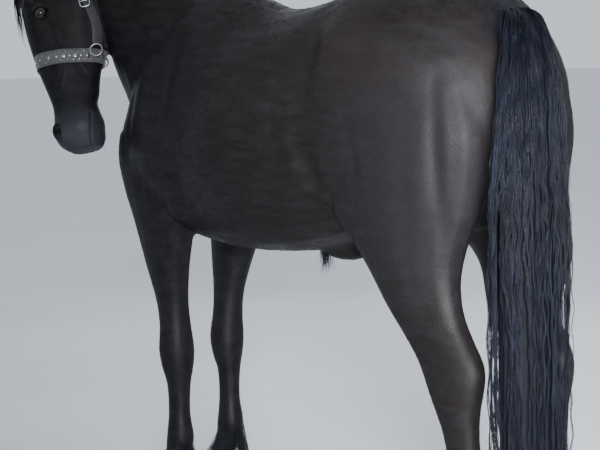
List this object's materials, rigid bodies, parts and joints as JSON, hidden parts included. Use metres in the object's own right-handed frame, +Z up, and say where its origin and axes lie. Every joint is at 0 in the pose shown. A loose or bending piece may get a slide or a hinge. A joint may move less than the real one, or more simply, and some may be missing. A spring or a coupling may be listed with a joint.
{
  "type": "friesian horse model",
  "caption": "Life-size still model of a standing black Friesian horse with its head turned to its left, long mane and tail, feathered legs and a halter without a lead.",
  "frame": {"origin": "on the floor, under the middle of the model's bounding box", "axes": "+X from the tail towards the chest, +Y to the horse's left, +Z up"},
  "size_m": [2.153, 0.6989, 1.8816],
  "materials": {
    "coat": "short black coat with a soft sheen, over the skin",
    "hair": "long wavy black hair with a cool sheen",
    "hoof": "dark satin horn with growth rings",
    "eye": "wet dark brown gloss",
    "halter": "grey strap with bright studs",
    "metal": "bright steel wire"
  },
  "bodies": {
    "root": {"cannon_front_left": "coat", "cannon_front_right": "coat", "cannon_hind_left": "coat", "cannon_hind_right": "coat", "ear_left": "coat", "ear_right": "coat", "eye_left": "eye", "eye_right": "eye", "halter_buckle": "metal", "halter_headpiece": "halter", "halter_noseband": "halter", "halter_ring_left": "metal", "halter_ring_right": "metal", "head": "coat", "hoof_front_left": "hoof", "hoof_front_right": "hoof", "hoof_hind_left": "hoof", "hoof_hind_right": "hoof", "leg_front_left": "coat", "leg_front_right": "coat", "leg_hind_left": "coat", "leg_hind_right": "coat", "neck": "coat", "tail": "hair", "torso": "coat"}
  },
  "joints": []
}
